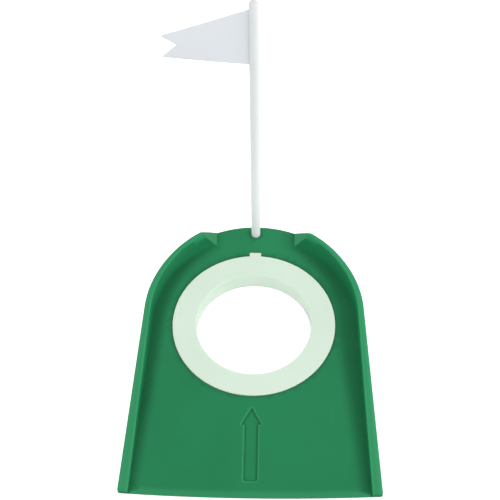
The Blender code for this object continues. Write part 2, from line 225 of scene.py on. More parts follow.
# ------------------------------------------------------------ sheets and meshes
class Sheet:
    """A height-field sheet over the plan: loops of points that edges must follow,
    free points between them, and a constrained Delaunay triangulation."""

    def __init__(self, height):
        self.height = height
        self.xy, self.z, self.edges = [], [], []
        self.index = {}

    def point(self, x, y, drop=0.0):
        key = (round(x, 4), round(y, 4))
        if key not in self.index:
            self.index[key] = len(self.xy)
            self.xy.append((x, y))
            self.z.append(float(self.height(x, y)) - drop)
        return self.index[key]

    def line(self, points, drops=0.0, closed=False):
        if not hasattr(drops, "__len__"):
            drops = [drops] * len(points)
        ids = [self.point(x, y, drop) for (x, y), drop in zip(points, drops)]
        pairs = list(zip(ids, ids[1:])) + ([(ids[-1], ids[0])] if closed else [])
        self.edges += [(a, b) for a, b in pairs if a != b]

    def rounded_edge(self, outline, plan, drop, parts):
        """Quarter round over an outline. A negative plan runs outwards, as round a hole."""
        for plan_share, drop_share in quarter(parts):
            reach = np.reshape(plan_share * np.asarray(plan), (-1, 1))
            loop = [tuple(p) for p in inset(outline, reach)]
            self.line(loop, drop_share * drop, closed=True)

    def fill(self, low, high, spacing, clearance, keep):
        """Hexagonal grid of free points, where keep(x, y) allows and no other is near."""
        tree = KDTree(len(self.xy))
        for i, (x, y) in enumerate(self.xy):
            tree.insert((x, y, 0), i)
        tree.balance()
        row, y = 0, low[1]
        while y <= high[1]:
            x = low[0] + (spacing / 2 if row % 2 else 0)
            while x <= high[0]:
                if keep(x, y) and tree.find((x, y, 0))[2] > clearance:
                    self.point(x, y)
                x += spacing
            y += spacing * 0.866
            row += 1

    def triangles(self, keep):
        """(points, triangles), facing up. The edges divide the sheet into regions, and a
        region stays if keep(x, y) allows the middle of its largest triangle."""
        plan, edges, faces, sources, edge_sources, _ = delaunay_2d_cdt(
            [Vector(p) for p in self.xy], self.edges, [], 0, 1e-5)
        points = np.array([[v.x, v.y, self.z[s[0]] if s else float(self.height(v.x, v.y))]
                           for v, s in zip(plan, sources)])
        tris = np.array([t for t in faces if len(t) == 3], int)
        a, b, c = (points[tris[:, i], :2] for i in range(3))
        area = ((b[:, 0] - a[:, 0]) * (c[:, 1] - a[:, 1])
                - (b[:, 1] - a[:, 1]) * (c[:, 0] - a[:, 0]))
        tris[area < 0] = tris[area < 0][:, ::-1]
        area = np.abs(area) / 2
        middle = (a + b + c) / 3
        fixed = {(min(e), max(e)) for e, s in zip(edges, edge_sources) if s}
        parent = list(range(len(tris)))

        def root(i):
            while parent[i] != i:
                parent[i] = parent[parent[i]]
                i = parent[i]
            return i

        seen = {}
        for i, t in enumerate(tris.tolist()):
            for p, q in ((t[0], t[1]), (t[1], t[2]), (t[2], t[0])):
                key = (min(p, q), max(p, q))
                if key in fixed:
                    continue
                if key in seen:
                    parent[root(i)] = root(seen[key])
                else:
                    seen[key] = i
        roots = np.array([root(i) for i in range(len(tris))])
        good = np.zeros(len(tris), bool)
        for region in np.unique(roots):
            members = np.nonzero(roots == region)[0]
            if area[members].sum() >= 1e-3:
                good[members] = bool(keep(*middle[members[np.argmax(area[members])]]))
        return points, tris[good]


class Build:
    """Collects vertices and faces in millimetres, and makes one welded object of them."""

    def __init__(self):
        self.verts, self.faces = [], []

    def sheet(self, points, faces, flip=False):
        n = len(self.verts)
        self.verts += [tuple(v) for v in points]
        self.faces += [tuple(n + i for i in (f[::-1] if flip else f)) for f in faces]

    def flat_sheet(self, z, outer, hole=None, flip=False):
        """A level sheet inside one outline and, if given, outside another."""
        sheet = Sheet(lambda x, y: z)
        sheet.line(outer, closed=True)
        if hole:
            sheet.line(hole, closed=True)
        self.sheet(*sheet.triangles(
            lambda x, y: inside(x, y, outer) and not (hole and inside(x, y, hole))), flip)

    def loop(self, points):
        n = len(self.verts)
        self.verts += [tuple(float(c) for c in p) for p in points]
        return list(range(n, n + len(points)))

    def plan_loop(self, points, z):
        """Loop over plan points, at one height or at a height for each."""
        heights = np.broadcast_to(z, len(points))
        return self.loop([(x, y, h) for (x, y), h in zip(points, heights)])

    def band(self, a, b, closed=True):
        """Quads between two loops of equal length."""
        n = len(a)
        for i in range(n if closed else n - 1):
            j = (i + 1) % n
            self.face((a[i], a[j], b[j], b[i]))

    def bands(self, loops):
        for a, b in zip(loops, loops[1:]):
            self.band(a, b)

    def face(self, ids):
        self.faces.append(tuple(ids))

    def prism(self, points, low, high):
        bottom, top = self.plan_loop(points, low), self.plan_loop(points, high)
        self.band(bottom, top)
        self.face(bottom[::-1])
        self.face(top)

    def eared_wall(self, outline, arc_count, radius, tops, foot, ear_z, flip_ear):
        """Wall down from an eared circle. The ear is shallow and has its own level sheet, with
        the circle's wall carried on below it. Returns the plan points of the full circle."""
        arc, ear = outline[:arc_count], outline[arc_count:]
        first, last = outline[0], outline[arc_count - 1]
        rim = self.plan_loop(outline, tops)
        low = self.plan_loop(arc, foot)
        knee = self.plan_loop([first, last], ear_z)
        for i in range(arc_count - 1):
            ids = [rim[i], rim[i + 1], low[i + 1], low[i]]
            if i == 0:
                ids.append(knee[0])
            if i == arc_count - 2:
                ids.insert(2, knee[1])
            self.face(ids)
        ear_loop = [last] + ear + [first]
        ear_low = self.plan_loop(ear_loop, ear_z)
        self.band(rim[arc_count - 1:] + [rim[0]], ear_low, closed=False)
        start, end = math.atan2(last[1], last[0]), math.atan2(first[1], first[0])
        angles = [start + (end - start) * k / 6 for k in range(7)]
        under = [(radius * math.cos(a), radius * math.sin(a)) for a in angles]
        under_top, under_low = self.plan_loop(under, ear_z), self.plan_loop(under, foot)
        self.band(under_top, under_low, closed=False)
        self.flat_sheet(ear_z, ear_loop + under[::-1][1:-1], flip=flip_ear)
        return arc + under[1:-1]

    def object(self, name, sharp_angle=35.0):
        mesh = bpy.data.meshes.new(name)
        bm = bmesh.new()
        verts = [bm.verts.new(v) for v in self.verts]
        for f in self.faces:
            try:        # a face given twice, or one using a vertex twice, is left out
                bm.faces.new([verts[i] for i in f])
            except ValueError:
                pass
        bmesh.ops.remove_doubles(bm, verts=bm.verts, dist=2e-3)
        bmesh.ops.dissolve_degenerate(bm, edges=bm.edges, dist=1e-4)
        loose = [v for v in bm.verts if not v.link_faces]
        bmesh.ops.delete(bm, geom=loose, context="VERTS")
        bmesh.ops.recalc_face_normals(bm, faces=bm.faces)
        bm.to_mesh(mesh)
        bm.free()
        mesh.transform(Matrix.Diagonal((0.001, 0.001, 0.001, 1.0)))
        mesh.transform(Matrix.Translation((0, HOLE_Y, 0)))
        obj = bpy.data.objects.new(name, mesh)
        bpy.context.scene.collection.objects.link(obj)
        mesh.shade_smooth()
        mesh.set_sharp_from_angle(angle=math.radians(sharp_angle))
        return obj


def cut(obj, cutter):
    """Boolean difference, applied to the mesh."""
    mod = obj.modifiers.new("cut", "BOOLEAN")
    mod.operation, mod.solver, mod.object = "DIFFERENCE", "EXACT", cutter
    bpy.context.view_layer.update()
    evaluated = obj.evaluated_get(bpy.context.evaluated_depsgraph_get())
    mesh = bpy.data.meshes.new_from_object(evaluated)
    obj.modifiers.clear()
    old, obj.data = obj.data, mesh
    bpy.data.meshes.remove(old)
    mesh.name = obj.name
    bpy.data.objects.remove(cutter, do_unlink=True)


def vertex_places(obj):
    """The object's vertices in millimetres from the centre of the hole."""
    return [(v.co.x * 1000, (v.co.y - HOLE_Y) * 1000, v.co.z * 1000)
            for v in obj.data.vertices]


def add_attribute(obj, name, values):
    obj.data.attributes.new(name, "FLOAT", "POINT").data.foreach_set("value", values)


def register(obj, moves_with, piece):
    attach(obj, moves_with)
    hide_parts(piece)


def step(value, low, high):
    """Smooth step from 0 to 1."""
    t = max(0.0, min(1.0, (value - low) / (high - low)))
    return t * t * (3 - 2 * t)


def along(value, *stops):
    """Linear between (place, value) stops."""
    return float(np.interp(value, *zip(*stops)))


# ------------------------------------------------------------ base: height field
def ramp(y):
    return 10.2 + 0.068 * y


def rim_plane(y):
    return 14.51 + 0.0927 * y


def rim_top(x, y):
    """Top of the rims: a plane, with the back ends swept up, mostly along the outer edge."""
    turn = np.arctan2(y - ARC_Y, np.abs(x))
    t = np.clip((turn - HORN_FROM) / (HORN_TO - HORN_FROM), 0, 1)
    out = np.clip((np.hypot(x, y - ARC_Y) - 69.0) / 4.0, 0, 1)
    return rim_plane(y) + HORN_LIFT * t * t * (3 - 2 * t) * (0.35 + 0.65 * out)


def outside(x, y, radius, centre_y, flare):
    """Signed distance outside a rounded back with straight flared sides."""
    across_x, along_y = np.abs(x), y - centre_y
    side = across_x * math.cos(flare) + along_y * math.sin(flare) - radius
    return np.where(np.arctan2(along_y, across_x) >= flare,
                    np.hypot(across_x, along_y) - radius, side)


def from_foot(x, y):
    return outside(x, y, FOOT_R, FOOT_Y, FOOT_FLARE)


def from_wall_top(x, y):
    return outside(x, y, WALL_R, WALL_Y, WALL_FLARE)


def smooth_min(a, b, ease):
    h = np.maximum(ease - np.abs(a - b), 0) / ease
    return np.minimum(a, b) - h * h * ease / 4


def smooth_max(a, b, ease):
    h = np.maximum(ease - np.abs(a - b), 0) / ease
    return np.maximum(a, b) + h * h * ease / 4


def horn_face(x, y):
    """The sloped end faces of the rims, either side of the gap at the back."""
    return np.where(y > 20.0, ramp(y) + (np.abs(x) - HORN_X) * HORN_SLOPE, 99.0)


def height(x, y, grow=0.0):
    """Top of the base: ramp, rims, and the rims' back ends. The rims' inner walls are steep
    along the sides and lean back round the rear. With grow, the walls stand further out."""
    low = ramp(y)
    up = from_foot(x, y)
    width = np.maximum(up - from_wall_top(x, y), MIN_WALL_WIDTH)
    wall = low + (rim_plane(y) - low) * (up - grow) / width
    rim = smooth_min(rim_top(x, y), wall, RIM_EASE)
    rim = smooth_min(rim, horn_face(x, y), HORN_EASE)
    return smooth_max(low, rim, FOOT_EASE)


def across(x, y, inward, distance):
    """How far along the inward normal the line distance(x, y) = 0 lies."""
    reach = 0.0
    for _ in range(5):
        reach += float(distance(*moved(x, y, inward, reach)))
    return reach


# ------------------------------------------------------------ base: outlines
def side_half(radius, ahead):
    """Half width between the flared sides, at a distance ahead of the back's centre."""
    return (radius + ahead * math.sin(FLARE)) / math.cos(FLARE)


def front_edge(x):
    return FRONT_Y + FRONT_BOW * (x / BOW_HALF) ** 2


def base_outline(side_parts=62):
    """Outer outline of the base, counter-clockwise from the right front corner."""
    half_front = side_half(ARC_R, ARC_Y - FRONT_Y - FRONT_BOW)
    corner = (half_front, FRONT_Y + FRONT_BOW)
    side_top = (ARC_R * math.cos(FLARE), ARC_Y + ARC_R * math.sin(FLARE))
    right = []
    for i in range(side_parts):
        t = i / side_parts
        right.append((corner[0] + (side_top[0] - corner[0]) * t,
                      corner[1] + (side_top[1] - corner[1]) * t))

    # round the back, finer where the rims end, then stretched to close at the middle
    arc, a = [], FLARE
    while a < math.pi / 2 - 1e-6:
        arc.append(a)
        x = ARC_R * math.cos(a)
        spacing = 0.36 if 22.5 < x < 39.0 else (0.8 if 18.0 < x < 44.0 else 1.5)
        a += spacing / ARC_R
    span = math.pi / 2 - FLARE
    covered = arc[-1] + 1.5 / ARC_R - FLARE
    arc = [t * span / covered + FLARE * (1 - span / covered) for t in arc]
    right += [(ARC_R * math.cos(t), ARC_Y + ARC_R * math.sin(t)) for t in arc]
    left = [(-x, y) for x, y in reversed(right)]

    # front edge, finer towards the corners
    stations = []
    x = half_front - 1.9
    while x > 0.5:
        stations.append(x)
        x -= 0.3 if x > 69.5 else (0.9 if x > 66.0 else 2.4)
    front = []
    for x in [-s for s in stations] + [0.0] + stations[::-1]:
        t = x / half_front
        front.append((x, FRONT_Y + FRONT_BOW * t * t))

    points = right + [(0.0, ARC_Y + ARC_R)] + left + front
    points = round_corner(points, len(right) + len(left), CORNER_R)     # left front
    return round_corner(points, 0, CORNER_R)                            # right front


def front_share(x, y):
    """1 along the thin front lip between the rims, 0 on the rims, sides and back."""
    s = np.clip((73.5 - np.abs(x)) / 5.0, 0, 1)
    return np.where(y < -118.0, s * s * (3 - 2 * s), 0.0)


OUTLINE = base_outline()
OUTLINE_X, OUTLINE_Y = np.array(OUTLINE).T
LIP_SHARE = front_share(OUTLINE_X, OUTLINE_Y)
EDGE_PLAN = BASE_EDGE + 1.4 * LIP_SHARE
EDGE_DROP = BASE_EDGE + 0.65 * LIP_SHARE
HOLE, HOLE_ARC = eared_circle(HOLE_R, NOTCH_HALF, NOTCH_OUT, HOLE_PARTS)
SOCKET = circle(SOCKET_R, 56, y=SOCKET_Y)
# arrow pointing back at the hole: tip, left barb and neck, shaft's front, right neck and barb
ARROW = split_edges([(0.0, -63.3), (-5.7, -74.1), (-3.8, -73.7), (-3.8, -112.2),
                     (3.8, -112.2), (3.8, -73.7), (5.7, -74.1)], 1.6)
ARROW_KEEP_OUT = offset_round(ARROW, ARROW_LIP + 0.9)


# ------------------------------------------------------------ base: top sheet
RIM_CLUSTER = (-1.0, -0.7, -0.45, -0.22, 0.0, 0.22, 0.45, 0.7, 1.0)


def rim_station(x, y, inward):
    """Depths of the rim's lines in from an outline point, bunched at the top edge and the
    foot of the inner wall, and the depth of that foot."""
    foot = across(x, y, inward, from_foot)
    crest = across(x, y, inward, from_wall_top)
    crest_x, crest_y = moved(x, y, inward, crest)
    rise = rim_plane(crest_y) - ramp(crest_y)
    lean = (foot - crest) / rise
    crest -= lean * float(rim_top(crest_x, crest_y) - rim_plane(crest_y))
    spread = 0.95 * lean * min(1.0, rise / 2.3)
    depths = [0.36 * (crest - spread), 0.68 * (crest - spread), (crest + foot) / 2]
    depths += [crest + c * spread for c in RIM_CLUSTER]
    depths += [foot + c * spread for c in RIM_CLUSTER]
    return sorted(depths), foot


def add_rims(top):
    """Lines along the rims, and extra points where the rims end at the back."""
    sides = {}
    for (x, y), inward in zip(OUTLINE, mitres(OUTLINE)):
        if y < -119.2 or abs(x) < 21.0:
            continue
        inward = inward / np.hypot(*inward)
        depths, foot = rim_station(x, y, inward)
        line = [moved(x, y, inward, depth) for depth in depths]
        sides.setdefault(x > 0, []).append((line, x, y, inward, foot))
    for side in sides.values():
        side.sort(key=lambda s: s[2] if abs(s[1]) > 60 else 200 - abs(s[1]))
        for k in range(len(side[0][0])):
            top.line([station[0][k] for station in side])
        for line, x, y, inward, foot in side:
            if not (20.5 < abs(x) < 42.0 and y > 0):
                continue
            taken = [math.dist((x, y), p) for p in line]
            depth = 1.2
            while depth < foot + 1.6:
                if min(abs(depth - t) for t in taken) > 0.2:
                    top.point(*moved(x, y, inward, depth))
                depth += 0.4


def add_arrow(top):
    """Sunk arrow with rolled lips."""
    for plan, drop in quarter(7):
        reach = plan * ARROW_LIP
        loop = true_offset(offset_round(ARROW, reach), ARROW, reach) if plan else ARROW
        top.line(loop, drop * ARROW_DEPTH, closed=True)
    for reach in (0.3, 0.75):
        top.line(true_offset(inset(ARROW, reach), ARROW, reach), ARROW_DEPTH, closed=True)
    for k in range(24):
        for x in (-1.7, 0.0, 1.7):
            y = -111.0 + 1.6 * k
            if y < -74.0 or (y < -67.2 and abs(x) < 0.1):
                top.point(x, y, ARROW_DEPTH)


def open_ramp(x, y):
    """Whether the ramp is plain here, clear of rims, hole, socket, back edge and arrow."""
    if not (-121.0 < y < 77.0):
        return False
    if from_foot(x, y) > -2.0 and not (abs(x) < 20.0 and y > 50):
        return False
    if math.hypot(x, y) < HOLE_R + 1.2 or (abs(x) < 6.0 and 50 < y < NOTCH_OUT + 1.2):
        return False
    if math.hypot(x, y - SOCKET_Y) < SOCKET_R + 0.8:
        return False
    if math.hypot(x, y - ARC_Y) > ARC_R - 1.8 and y > 20:
        return False
    return not inside(x, y, ARROW_KEEP_OUT)


def on_base(x, y):
    return inside(x, y, OUTLINE) and not inside(x, y, HOLE) and not inside(x, y, SOCKET)


def base_top():
    top = Sheet(height)
    top.rounded_edge(OUTLINE, EDGE_PLAN, EDGE_DROP, 6)
    for behind in (3.0, 4.5, 6.2):          # rows behind the front lip
        top.line([(2.4 * k, front_edge(2.4 * k) + behind) for k in range(-28, 29)])
    add_rims(top)
    top.rounded_edge(HOLE, -HOLE_EDGE, HOLE_EDGE, 5)
    top.rounded_edge(SOCKET, -SOCKET_EDGE, SOCKET_EDGE, 5)
    add_arrow(top)
    top.fill((-78, -120.5), (78, 76), 3.2, 1.3, open_ramp)
    return top


# ------------------------------------------------------------ base: shell
def add_outer_wall(build):
    """Outer wall, with an eased foot. Returns the outer outline of the underside."""
    tops = height(OUTLINE_X, OUTLINE_Y) - EDGE_DROP
    loops = [build.plan_loop(OUTLINE, tops)]
    for share in (0.94, 0.66, 0.33):
        loops.append(build.plan_loop(OUTLINE, BASE_EDGE + (tops - BASE_EDGE) * share))
    for plan, drop in quarter(4):
        points = np.array(OUTLINE) + mitres(OUTLINE) * plan * BASE_EDGE
        loops.append(build.plan_loop(points, BASE_EDGE * drop))
    build.bands(loops)
    return [tuple(p) for p in inset(OUTLINE, BASE_EDGE)]


def add_hole(build):
    """Hole wall, notch and ledge. Returns the inner outline of the underside."""
    hole_x, hole_y = np.array(HOLE).T
    full = build.eared_wall(HOLE, HOLE_ARC, HOLE_R, height(hole_x, hole_y) - HOLE_EDGE,
                            LEDGE_TOP, NOTCH_FLOOR, flip_ear=False)
    # radius and height, from the wall in along the ledge and down through the base
    profile = [(HOLE_R, LEDGE_TOP), (LEDGE_R + 0.25, LEDGE_TOP),
               (LEDGE_R + 0.07, LEDGE_TOP - 0.07), (LEDGE_R, LEDGE_TOP - 0.25),
               (LEDGE_R, 0.3), (LEDGE_R + 0.3, 0.0)]
    build.bands([build.plan_loop(scaled(full, r / HOLE_R), z) for r, z in profile])
    return scaled(full, profile[-1][0] / HOLE_R)


def add_socket(build):
    socket_x, socket_y = np.array(SOCKET).T
    loops = [build.plan_loop(SOCKET, height(socket_x, socket_y) - SOCKET_EDGE)]
    for reach, above in ((0.0, 0.4), (0.12, 0.12), (0.4, 0.0)):
        loops.append(build.plan_loop(inset(SOCKET, reach), SOCKET_FLOOR + above))
    build.bands(loops)
    build.face(loops[-1])


def base_shell():
    build = Build()
    build.sheet(*base_top().triangles(on_base))
    outer = add_outer_wall(build)
    inner = add_hole(build)
    add_socket(build)
    build.flat_sheet(0.0, outer, inner, flip=True)
    return build.object("base_shell", sharp_angle=32.0)


# ------------------------------------------------------------ base: hollow underside
def roof_z(x, y):
    return float(height(x, y, ROOM_GROW)) - SKIN


def room_outline(parts=80):
    radius = ARC_R - WALL
    points = []
    for i in range(parts + 1):
        a = FLARE + (math.pi - 2 * FLARE) * i / parts
        points.append((radius * math.cos(a), ARC_Y + radius * math.sin(a)))
    half = side_half(radius, ARC_Y - LIP_Y)
    return split_edges(points + [(-half, LIP_Y), (half, LIP_Y)], 4.0)


def add_roof_lines(roof, room):
    """Lines along the underside of the rims' inner walls. They break at the front."""
    rows = []
    for (x, y), inward in zip(room, mitres(room)):
        if y < LIP_Y + 8.0:
            rows.append(None)
            continue
        inward = inward / np.hypot(*inward)
        crest = across(x, y, inward, lambda u, v: from_wall_top(u, v) - ROOM_GROW)
        foot = across(x, y, inward, lambda u, v: from_foot(u, v) - ROOM_GROW)
        depths = [crest, crest + 0.35 * (foot - crest), crest + 0.7 * (foot - crest),
                  foot, foot + 0.5, foot + 2.1]
        rows.append([moved(x, y, inward, max(depth, 0.2 + 0.15 * k))
                     for k, depth in enumerate(depths)])
    for k in range(6):
        run = []
        for row in rows + [None]:
            if row is not None:
                run.append(row[k])
                continue
            if len(run) > 1:
                roof.line(run)
            run = []


def hollow_cutter():
    room = room_outline()
    roof = Sheet(roof_z)
    roof.line(room, closed=True)
    add_roof_lines(roof, room)
    for side in (-1, 1):                    # finer under the rims' back ends
        for k in range(12):
            for x in (26.8, 29.0, 31.0, 33.0, 35.2):
                y = 60.0 + k * 1.4
                if math.hypot(x, y - ARC_Y) < ARC_R - WALL - 1.0:
                    roof.point(side * x, y)
    in_room = lambda x, y: inside(x, y, room)
    roof.fill((-78, -103), (78, 74), 6.0, 2.4, in_room)
    build = Build()
    build.sheet(*roof.triangles(in_room))
    build.band(build.plan_loop(room, [roof_z(x, y) for x, y in room]),
               build.plan_loop(room, ROOM_FLOOR))
    build.flat_sheet(ROOM_FLOOR, room, flip=True)
    return build.object("hollow_cutter")


def keep_out(name, points):
    """A prism of solid material that the hollow leaves standing."""
    build = Build()
    build.prism(points, -12.0, 40.0)
    return build.object(name)


def box_outline(x0, y0, x1, y1):
    return [(x0, y0), (x1, y0), (x1, y1), (x0, y1)]


def hollow_out(base):
    hollow = hollow_cutter()
    keeps = [keep_out(name, points) for name, points in (
        ("keep_collar", circle(56.2, 160)),                     # round the hole
        ("keep_pad", box_outline(-6.8, 45.0, 6.8, 61.2)),       # under the notch
        ("keep_boss", circle(5.4, 48, y=SOCKET_Y)),             # round the socket
        ("keep_left_rib", box_outline(-30.8, -140.0, -29.2, -40.0)),
        ("keep_right_rib", box_outline(29.2, -140.0, 30.8, -40.0)))]
    for keep in keeps:
        cut(hollow, keep)
    cut(base, hollow)
    base.data.set_sharp_from_angle(angle=math.radians(32.0))


# ------------------------------------------------------------ base: painted light and shade
# rise: 0 on the ramp to 1 on the rim's top; where high it brings a painted highlight, and horn
# faces and lips are given it.  Painted light, the second mark: 0 in the painted shadow beside
# the rims and in the painted shade of seams, 1 on open ground.  sheen: a painted highlight.
# face: 1 on the rims' inner walls.
# Distances are in mm; turn is the angle round the back, in degrees, 90 at the flagstick.
MARKS = ("rise", "painted_light", "sheen", "face")
# the rise given to the arrow's lip, which brings it a painted highlight
ARROW_LIP_RISE = 0.97


def rim_shadow_span(x, turn, rim_rise):
    """Where the painted shadow beside a rim starts and ends, in from the wall's foot, and the
    least painted light in it.
    """
    if x < 0:
        near = along(turn, (12, 1.35 * rim_rise - 1.6), (30, 2.6), (40, 0.4), (60, -2.0))
        far = along(turn, (12, 1.35 * rim_rise + 5.6), (30, 10.0), (40, 9.8), (60, 6.2))
        return near, far, along(turn, (40, 0.10), (62, 0.40))
    middle = min(12.0, 3.0 + 2.2 * rim_rise)
    near = along(turn, (12, middle - 5.0), (30, 4.0), (40, 3.2), (50, 2.2), (60, 0.6))
    far = along(turn, (12, middle + 5.0), (30, 13.4), (40, 12.4), (50, 10.8), (60, 7.3))
    least = along(turn, (-35, 0.10), (-12, 0.24), (6, 0.24), (18, 0.10), (40, 0.10), (62, 0.30))
    return near, far, least


def ground_painted_light(x, y, turn, inward, rim_rise):
    """Painted light on the ramp, low in the painted shadow of the rims, and its least value, at
    a distance inward of the wall's foot.
    """
    near, far, least = rim_shadow_span(x, turn, rim_rise)
    painted_light = least + (1 - least) * step(inward, near, far)
    from_hole = math.hypot(x, y)
    if y > 0:                               # the gap at the back is open ground
        right_shade = 0.35 * step(x, 12.0, 24.0) * step(from_hole, 61.0, 68.0)
        painted_light = max(painted_light, 1.0 - step(abs(x), 22.0, 32.0) - right_shade)
    # painted shade in the seams round the hole and the socket
    for gap in (from_hole - HOLE_R, math.hypot(x, y - SOCKET_Y) - SOCKET_R):
        painted_light = min(painted_light, 0.2 + 0.8 * step(gap, 0.0, 1.1))
    return painted_light, least


def wall_painted_light(x, turn, inward, up, least):
    """Painted shade on a rim's inner wall and top. Round the rear the two sides differ, the
    right one darker.
    """
    if x < 0:
        rear_face = 0.62 + 0.26 * step(up, 0.55, 1.0)
    else:
        rear_face = 0.42 + 0.30 * step(up, 0.6, 1.0)
    rear = step(turn, 10.0, 28.0)
    face = rear * rear_face + (1 - rear) * (0.12 + 0.88 * step(up, 0.0, 0.95))
    blend = step(-inward, 0.3 * rear, 0.3 + 1.1 * rear)
    return max(least + (face - least) * blend, 0.9 * step(up, 0.93, 1.0))


def arrow_painted_light(x, y, z, painted_light, rise):
    """Painted light and rise round the arrow: painted shade in the seam, a painted highlight on
    the lip, the sunk floor fully lit.
    """
    gap = distance_to_outline((x, y), ARROW)
    on_floor = z < ramp(y) - 0.6 * ARROW_DEPTH
    if gap < 0.35:
        return 0.42, rise
    if not on_floor and gap < 1.58:
        return 1.0, ARROW_LIP_RISE if gap > 0.65 else 0.80
    if on_floor:
        return 1.0, rise
    return painted_light, rise


def base_marks(x, y, z):
    """The values of MARKS at a point of the base."""
    low = ramp(y)
    top_rise = float(rim_top(x, y)) - low
    rim_rise = rim_plane(y) - low
    up = max(0.0, min(1.0, (z - low) / top_rise))
    inward, crest = -float(from_foot(x, y)), -float(from_wall_top(x, y))
    wall_width = max(crest - inward, MIN_WALL_WIDTH)
    reach = -inward / wall_width
    behind_front = y - front_edge(x)
    turn = math.degrees(math.atan2(y - ARC_Y, abs(x)))
    on_horn = (y > 20.0 and up > 0.02 and abs(x) > HORN_X
               and horn_face(x, y) < low + rim_rise * min(1.0, reach))
    on_lip = behind_front < 2.0 and abs(x) < 73.5 and z > 0.5
    by_arrow = abs(x) < 9.0 and -116.0 < y < -60.0

    painted_light, least = ground_painted_light(x, y, turn, inward, rim_rise)
    rise = up
    # painted highlight on horn faces and the front lip, and less of it on a band behind the lip
    if on_horn or on_lip:
        painted_light, rise = 1.0, 0.96
    elif behind_front < 6.5 and abs(x) < 70.0 and z > 0.5:
        rise = 0.96 - 0.10 * step(behind_front, 1.8, 6.2)
    # painted shade on the rims' inner walls
    elif up > 0.04:
        painted_light = wall_painted_light(x, turn, inward, up, least)
    # painted shade and painted highlight round the arrow
    if by_arrow and z > 0.5:
        painted_light, rise = arrow_painted_light(x, y, z, painted_light, rise)

    from_side = -float(outside(x, y, ARC_R, ARC_Y, FLARE))
    near_edge = up > 0.8 and from_side < 3.2 and not on_lip
    from_crest = (reach - top_rise / rim_rise) * wall_width
    on_wall = 0.04 < up < 0.97 and from_crest < 0.0 and not on_horn and not on_lip
    if z < float(height(x, y)) - (0.5 if from_side < 0.05 else 1.2):
        # outer wall and underside: a little painted shade, no painted highlight
        painted_light, rise, on_wall, near_edge, from_crest = 0.85, 0.0, False, False, 9.0

    sheen = 0.0
    # painted highlight along the rims' outer top edge, stronger on the right
    if near_edge:
        sheen = (0.35 if x < 0 else 1.0) * (1.0 - step(from_side, 1.2, 3.2))
    # painted highlight on the arrow's lip
    if by_arrow and rise == ARROW_LIP_RISE:
        sheen = 0.6
    # painted highlight along the rims' inner top edge, in a wider strip towards the back
    rear = 0.0 if on_horn else step(turn, 49.0, 56.0)
    if up > 0.85 - 0.2 * rear and -0.05 - 1.9 * rear < from_crest < 1.4 and not on_lip:
        off_line = abs(from_crest - 0.45 + 0.85 * rear)
        sheen = max(sheen, 0.75 * (1.0 - step(off_line, 0.15 + 0.7 * rear, 0.9 + 0.6 * rear)))
    if up < 0.04 and y > 45.0 and rise < 0.5 and z > low - 0.2:
        # painted sheen on the open ground at the back, stronger on the right
        sheen = ((0.14 if x < 0 else 0.24) * step(y, 45.0, 62.0)
                 * (1.0 - step(abs(x), 18.0, 44.0)))
    return rise, painted_light, sheen, 1.0 if on_wall else 0.0


def make_base():
    base = base_shell()
    hollow_out(base)
    columns = zip(*[base_marks(*place) for place in vertex_places(base)])
    for name, values in zip(MARKS, columns):
        add_attribute(base, name, values)
    register(base, "base", "base")
    return base


# ------------------------------------------------------------ reducer ring
RING_R, BORE_R, RING_FILLET, RING_EDGE = 53.9, 37.9, 0.9, 0.4
RING_FOOT, BORE_FOOT = 1.6, 0.3             # lower ends of the outer wall and the bore
RING_SKIN, RING_WALL = 2.2, 1.8
TAB_HALF, TAB_OUT, TAB_LOW = 4.0, 56.7, 11.574
RING_PARTS = 288


def ring_top(rim):
    """Top of the ring, with a rounded rim and a fillet into the bore."""
    sheet = Sheet(lambda x, y: ramp(y))
    sheet.rounded_edge(rim, RING_EDGE, RING_EDGE, 5)
    angles = [math.pi / 2 + 2 * math.pi * i / RING_PARTS for i in range(RING_PARTS)]
    for plan, drop in quarter(8):
        r = BORE_R + plan * RING_FILLET
        sheet.line([(r * math.cos(a), r * math.sin(a)) for a in angles],
                   drop * RING_FILLET, closed=True)
    for r in (40.2, 42.4, 45.0, 48.0, 50.8, 52.3):      # free points, one row unshifted
        shift = 0.0 if r == 45.0 else math.pi / RING_PARTS
        for a in angles[::2]:
            sheet.point(r * math.cos(a + shift), r * math.sin(a + shift))
    bore = [(BORE_R * math.cos(a), BORE_R * math.sin(a)) for a in angles]
    inner = BORE_R * math.cos(math.pi / RING_PARTS) - 1e-3
    return sheet.triangles(lambda x, y: inside(x, y, rim) and np.hypot(x, y) > inner), bore


def full_turn_angle(point):
    return math.atan2(point[1], point[0]) % (2 * math.pi)


def join_by_angle(build, low, top):
    """Triangles between two loops whose points stand at different angles."""
    low, top = sorted(low, key=full_turn_angle), sorted(top, key=full_turn_angle)
    low_ids, top_ids = build.loop(low), build.loop(top)
    low_angles = [full_turn_angle(p) for p in low]
    top_angles = [full_turn_angle(p) for p in top]
    low_count, top_count = len(low), len(top)

    def next_angle(angles, i):
        wrap = 2 * math.pi if i + 1 >= len(angles) else 0
        return angles[(i + 1) % len(angles)] + wrap

    i = j = 0
    while i < low_count or j < top_count:
        a, b = low_ids[i % low_count], top_ids[j % top_count]
        low_first = next_angle(low_angles, i) <= next_angle(top_angles, j)
        if j >= top_count or (i < low_count and low_first):
            build.face((a, low_ids[(i + 1) % low_count], b))
            i += 1
        else:
            build.face((a, top_ids[(j + 1) % top_count], b))
            j += 1


